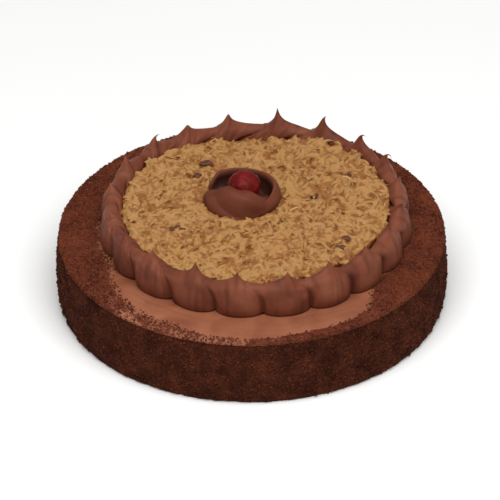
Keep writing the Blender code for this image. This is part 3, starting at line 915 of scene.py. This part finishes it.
def build_filling(custard, coconut, pecan):
    bed = filling_bed()

    def amount(place, normal):
        if normal.z < -0.3 or place.z < ICING_TOP + LOWEST_SHREDS:
            return 0.0
        if (place.xy - ROSETTE_AT).length < SEAT_RADIUS - 4 * MM:
            return 0.0
        return float((place.xy - RING_MIDDLE).length < BORDER_RADIUS - SHRED_INSET)

    # Fat shreds lie sunk in the bed, and one skin is drawn round all of it, as custard coats them
    ground = with_amount(bed, amount)
    embedded = scattered(
        "embedded_shreds",
        ground.copy(),
        shred_shapes(1.7),
        custard,
        number=330000.0,
        sizes=(0.6, 1.1),
        tilt=0.05,
        depths=(-1.1, -0.4),
        seed=6,
    )
    bm = bmesh.new()
    bm.from_mesh(bed)
    bm.from_mesh(embedded)
    mesh = merged(mesh_of("mass", bm), FILLING_VOXEL, 3, FILLING_SHARE_KEPT)

    # Each point takes the tan of the shred nearest to it, painted paler along the left edge as painted light, and knows
    # if it stands out
    strands = BVHTree.FromPolygons([v.co for v in embedded.vertices], [p.vertices for p in embedded.polygons])
    shades = embedded.attributes["shade"].data
    standing = mesh.attributes.new("standing", "FLOAT", "POINT")
    shade = mesh.attributes.new("shade", "FLOAT", "POINT")
    for vertex, stands, own in zip(mesh.vertices, standing.data, shade.data):
        place = vertex.co
        if place.z < ICING_TOP + 6 * MM:
            continue
        stands.value = clamp((place.z - ICING_TOP - filling_level(place.xy) + 0.2 * MM) / (1.1 * MM))
        strand = strands.find_nearest(place, 1.2 * MM)[2]
        own.value = 0.3 if strand is None else shades[embedded.polygons[strand].vertices[0]].value
        # Painted light: paler along the left edge
        painted_light_at_left_edge = clamp(((place.xy - RING_MIDDLE).length - BORDER_RADIUS + 14 * MM) / (6 * MM))
        own.value += 0.5 * painted_light_at_left_edge * clamp(-2 * place.x / BORDER_RADIUS)
    place_piece("filling_mass", mesh, custard, ["coconut_pecan_filling"])

    loose = scattered(
        "loose_shreds",
        ground.copy(),
        shred_shapes(1.0),
        coconut,
        number=9000.0,
        sizes=(0.5, 0.9),
        tilt=0.08,
        depths=(0.0, 0.35),
        seed=9,
    )
    place_piece("loose_shreds", loose, coconut)
    bits = scattered(
        "pecan_bits",
        ground,
        nut_shapes(),
        pecan,
        number=1100.0,
        sizes=(0.4, 1.1),
        tilt=0.5,
        depths=(-0.1, 0.3),
        seed=8,
    )
    place_piece("pecan_bits", bits, pecan)
    build_pecans(pecan)


def shred_shapes(fatness):
    """Shreds of coconut as soft bent strands, before they are scaled: 6 to 11 mm long, and 1 to 1.6 mm wide times the
    fatness."""
    rng = random.Random(41)
    shapes = []
    for i in range(9):
        length = rng.uniform(6, 11) * MM
        width = rng.uniform(0.5, 0.8) * fatness * MM
        bend = rng.uniform(-2.6, 2.6) * MM
        hook = rng.uniform(-1.0, 1.0) * MM
        rows = []
        for s in range(7):
            t = s / 3 - 1
            slim = width * math.sqrt(1 - 0.8 * t**4)
            middle = Vector((t * length / 2, bend * (1 - t * t) + hook * t**3, 0.3 * MM * (1 - 1.5 * t * t)))
            row = []
            for c in range(6):
                angle = c * TURN / 6
                row.append(middle + Vector((0, slim * math.cos(angle), 0.8 * slim * math.sin(angle))))
            rows.append(row)
        shapes.append(mesh_from(f"shred_{i}", *skin(rows, caps=(0, -1))))
    for shape in shapes:
        shape.shade_smooth()
    return shapes


def nut_shapes():
    """Chopped nut pieces about 2 mm across before they are scaled."""
    rng = random.Random(51)
    shapes = []
    for i in range(4):
        bm = bmesh.new()
        bmesh.ops.create_icosphere(bm, subdivisions=2, radius=1.0 * MM)
        shift = Vector((rng.uniform(0, 9), rng.uniform(0, 9), rng.uniform(0, 9)))
        for vertex in bm.verts:
            vertex.co *= 1 + 0.5 * noise.noise(vertex.co / (0.9 * MM) + shift)
            vertex.co.z *= 0.7
        shapes.append(mesh_of(f"nut_{i}", bm))
    return shapes


def build_pecans(material):
    """The larger pieces of pecan, each at its own spot and half sunk in the filling."""
    bm = bmesh.new()
    for x, y, half_length, half_width, degrees in PECAN_SPOTS:
        spot = Vector((x, y)) * MM
        made = bmesh.ops.create_icosphere(bm, subdivisions=4, radius=1)["verts"]
        size = Vector((half_length, half_width, 1.5)) * MM
        turn = Matrix.Rotation(math.radians(degrees), 3, "Z")
        at = Vector((spot.x, spot.y, ICING_TOP + filling_level(spot) + 0.2 * MM))
        for vertex in made:
            lump = 1 + 0.45 * noise.noise(1.3 * vertex.co + at / (3 * MM)) + 0.16 * noise.noise(4 * vertex.co)
            vertex.co = turn @ Vector([c * s * lump for c, s in zip(vertex.co, size)]) + at
    place_piece("pecan_pieces", mesh_of("pecans", bm), material)


# The rosette and the cherry


def along(points, share):
    """The place at this share of the way through a list of points, taken in even steps."""
    at = share * (len(points) - 1)
    k = min(int(at), len(points) - 2)
    return [a + (b - a) * (at - k) for a, b in zip(points[k], points[k + 1])]


def rope_rows(middle, turn, steps, shape):
    """Rows of points of a flat-bottomed rope of icing that winds round a middle. shape gives its radius, half width,
    height and the points of its section, for an angle in degrees and the share of the rope's length."""
    corners = 40
    rows = []
    for i in range(steps + 1):
        share = i / steps
        degrees = turn[0] + (turn[1] - turn[0]) * share
        radius, half_width, rise, section = shape(degrees, share)
        angle = math.radians(degrees)
        row = []
        for c in range(corners):
            side, lift = along(section, c / (corners - 1))
            ridge = 1 + 0.035 * math.cos(15 * c / corners + 3 * angle)
            reach = radius + side * half_width * ridge
            row.append(on_base(middle, reach * math.cos(angle), reach * math.sin(angle), lift * rise * ridge))
        rows.append(row)
    return rows


def on_base(middle, x, y, height):
    return Vector((middle.x + x, middle.y + y, ROSETTE_BASE - 0.2 * MM + height))


ROUND_SECTION = [section_offset(math.pi * c / 24) for c in range(25)]
SLOPING_SECTION = [(side, lift**1.15) for side, lift in ROUND_SECTION]


def tail_rope(_degrees, share):
    """Starts with a blunt round end at the left and winds inwards past the front, sinking as it goes."""
    taper = min(1, 0.85 + 3.2 * share) * min(1, 0.2 + 2 * (1 - share))
    sunk = min(1, max(0.2, 1.55 - 2.6 * share))
    return ROPE_RADIUS - 3 * MM * share**2, ROPE_HALF_WIDTH * taper, ROPE_HEIGHT * taper * sunk, ROUND_SECTION


def wall_rope(degrees, share):
    """A wall with a lip. It starts at the foot of the front, rises to the right and goes on round the back."""
    start = clamp((degrees - WALL_TURN[0]) / 75)
    rise = 0.1 + 0.9 * start * (2 - start)
    taper = min(1, 0.45 + 6 * (1 - share))
    half_width = ROPE_HALF_WIDTH * taper * (0.6 + 0.4 * start)
    flare = clamp((degrees - 465) / 45) ** 2
    return ROPE_RADIUS + (0.6 * (1 - start) + 2.2 * flare) * MM, half_width, WALL_HEIGHT * rise * taper, WALL_SECTION


def inner_rope(degrees, share):
    """Rises against the cherry's front and sinks away to both sides."""
    rise = INNER_LOW + INNER_CREST * math.exp(-(((degrees - 607) / 72) ** 4))
    taper = min(1, 0.4 + 4 * share) * min(1, 0.4 + 4 * (1 - share))
    return INNER_RADIUS, INNER_HALF_ROPE * taper, rise * taper, SLOPING_SECTION


def build_rosette(material):
    bm = bmesh.new()
    for middle, turn, steps, shape in (
        (ROSETTE_AT, TAIL_TURN, 90, tail_rope),
        (ROSETTE_AT, WALL_TURN, 130, wall_rope),
        (CHERRY_AT, INNER_TURN, 120, inner_rope),
    ):
        bm.from_mesh(mesh_from("rope", *skin(rope_rows(middle, turn, steps, shape), caps=(0, -1))))
    bmesh.ops.create_cone(
        bm,
        cap_ends=True,
        segments=48,
        radius1=ROPE_RADIUS,
        radius2=ROPE_RADIUS - 1 * MM,
        depth=1.8 * MM,
        matrix=Matrix.Translation(on_base(ROSETTE_AT, 0, 0, 0.9 * MM)),
    )
    made = merged(mesh_of("rosette", bm), ROSETTE_VOXEL, 5)
    # Painted shade in the hollow round the cherry: icing that lies deep and faces inwards is darkened, much less at the
    # front
    painted_shade_and_streaks = made.attributes.new("painted_shade_and_streaks", "FLOAT", "POINT")
    for vertex, value in zip(made.vertices, painted_shade_and_streaks.data):
        outward = vertex.co.xy - ROSETTE_AT
        facing_in = -vertex.normal.xy.dot(outward.normalized())
        inside = clamp((HOLLOW_RADIUS - outward.length) / (1.5 * MM))
        deep = clamp((ROSETTE_BASE + HOLLOW_HEIGHT - vertex.co.z) / (3.0 * MM))
        at_front = 0.15 if outward.y < -0.6 * outward.length else 1.0
        value.value = inside * deep * clamp(0.5 + 1.4 * facing_in) * at_front
    place_piece("piped_rosette", made, material, ["icing_rosette"])


def build_cherry(material):
    """A slightly flattened ball with soft folds down its sides and a wrinkled skin."""
    bm = bmesh.new()
    bmesh.ops.create_uvsphere(bm, u_segments=140, v_segments=90, radius=1)
    for vertex in bm.verts:
        angle = math.atan2(vertex.co.y, vertex.co.x)
        level = vertex.co.z
        fold = abs(math.sin(2.5 * angle + 0.7 + 0.5 * noise.noise(2 * vertex.co))) ** 0.5
        furrow = 1 - 0.11 * (1 - fold) * (1 - level**4)
        wrinkle = 0.985 + 0.03 * noise.noise(3.2 * vertex.co) + 0.02 * noise.noise(7 * vertex.co)
        vertex.co.x *= CHERRY_HALF_WIDTH * furrow * wrinkle
        vertex.co.y *= CHERRY_HALF_WIDTH * furrow * wrinkle
        vertex.co.z *= CHERRY_HALF_HEIGHT * wrinkle
    bmesh.ops.rotate(bm, verts=bm.verts[:], cent=(0, 0, 0), matrix=Matrix.Rotation(math.radians(18), 3, "X"))
    bmesh.ops.translate(bm, verts=bm.verts[:], vec=CHERRY_AT)
    place_piece("candied_cherry", mesh_of("cherry", bm), material, ["cherry"])


# The camera, the light and the floor

VIEW_DISTANCE = 5.0
VIEW_ELEVATION = math.radians(34.29)
VIEW_ROLL = math.radians(-0.45)
PIXELS_PER_METRE = 1900.0
FRAME_PIXELS = 500
AXIS_PIXEL = (252.0, 293.4)  # where the middle of the cake's base lies in the frame


def build_camera():
    camera = bpy.data.objects.new("portrait_camera", bpy.data.cameras.new("portrait_camera"))
    bpy.context.scene.collection.objects.link(camera)
    away = Vector((0, -math.cos(VIEW_ELEVATION), math.sin(VIEW_ELEVATION))) * VIEW_DISTANCE
    tilt = Matrix.Rotation(math.pi / 2 - VIEW_ELEVATION, 4, "X")
    camera.matrix_world = Matrix.Translation(away) @ tilt @ Matrix.Rotation(VIEW_ROLL, 4, "Z")
    camera.data.sensor_width = 36
    camera.data.lens = PIXELS_PER_METRE * VIEW_DISTANCE / FRAME_PIXELS * camera.data.sensor_width
    camera.data.shift_x = (FRAME_PIXELS / 2 - AXIS_PIXEL[0]) / FRAME_PIXELS
    camera.data.shift_y = (AXIS_PIXEL[1] - FRAME_PIXELS / 2) / FRAME_PIXELS
    camera.data.clip_end = 50
    bpy.context.scene.camera = camera


def soft_light(name, place, aim, size, power):
    lamp = bpy.data.lights.new(name, "AREA")
    lamp.shape = "DISK"
    lamp.size = size
    lamp.energy = power
    light = bpy.data.objects.new(name, lamp)
    light.location = place
    light.rotation_euler = (Vector(aim) - Vector(place)).to_track_quat("-Z", "Y").to_euler()
    light.visible_camera = False
    bpy.context.scene.collection.objects.link(light)


def build_studio():
    world = bpy.data.worlds.new("soft_white_room")
    world.use_nodes = True
    backdrop = world.node_tree.nodes["Background"]
    connect(world.node_tree, backdrop, {"Color": (1, 1, 1, 1), "Strength": 0.35})
    bpy.context.scene.world = world
    soft_light("overhead_softbox", (0.05, -0.6, 1.3), (0, 0, 0.04), 1.6, 24.5)

    material, tree, shader, place = new_material("matt_white_paper")
    fibres = add(tree, "ShaderNodeTexNoise", {"Vector": place, "Scale": 3.0, "Detail": 2.0})
    colour = ramp(tree, fibres.outputs["Fac"], [(0.3, "#f8f8f7"), (0.7, "#fafaf9")])
    connect(tree, shader, {"Base Color": colour, "Roughness": 0.9})
    bm = bmesh.new()
    bmesh.ops.create_grid(bm, x_segments=8, y_segments=8, size=8)
    bmesh.ops.translate(bm, verts=bm.verts[:], vec=(0, 0, -0.2 * MM))
    mesh = mesh_of("floor", bm)
    mesh.materials.append(material)
    floor = bpy.data.objects.new("floor", mesh)
    bpy.context.scene.collection.objects.link(floor)
    bpy.context.scene.view_settings.view_transform = "Standard"


def main():
    # One crumb, two tints: the side's copy is painted darker as painted shade, the top margin's copy lighter as painted
    # light
    side_crumbs = chocolate_crumb_material("side_crumbs_with_painted_shade", "#280e07", "#401d10", "#5c2d1b")
    margin_crumbs_painted_light = chocolate_crumb_material("margin_crumbs_with_painted_light", "#36140b", "#582919", "#7a3d26")
    spread = chocolate_icing_material("spread_chocolate_icing", "#9c6347", "#8f583f", "#7f4933", 0.18)
    piped = chocolate_icing_material("piped_chocolate_icing", "#814c36", "#76402e", "#613222", 0.1)
    rosette = chocolate_icing_material("dark_rosette_icing", "#744130", "#693828", "#592d1e", 0.08)
    build_cake(side_crumbs)
    build_top_icing(spread, margin_crumbs_painted_light)
    build_border(piped)
    build_filling(filling_material(), coconut_material(), pecan_material())
    build_rosette(rosette)
    build_cherry(cherry_material())
    build_camera()
    build_studio()


main()
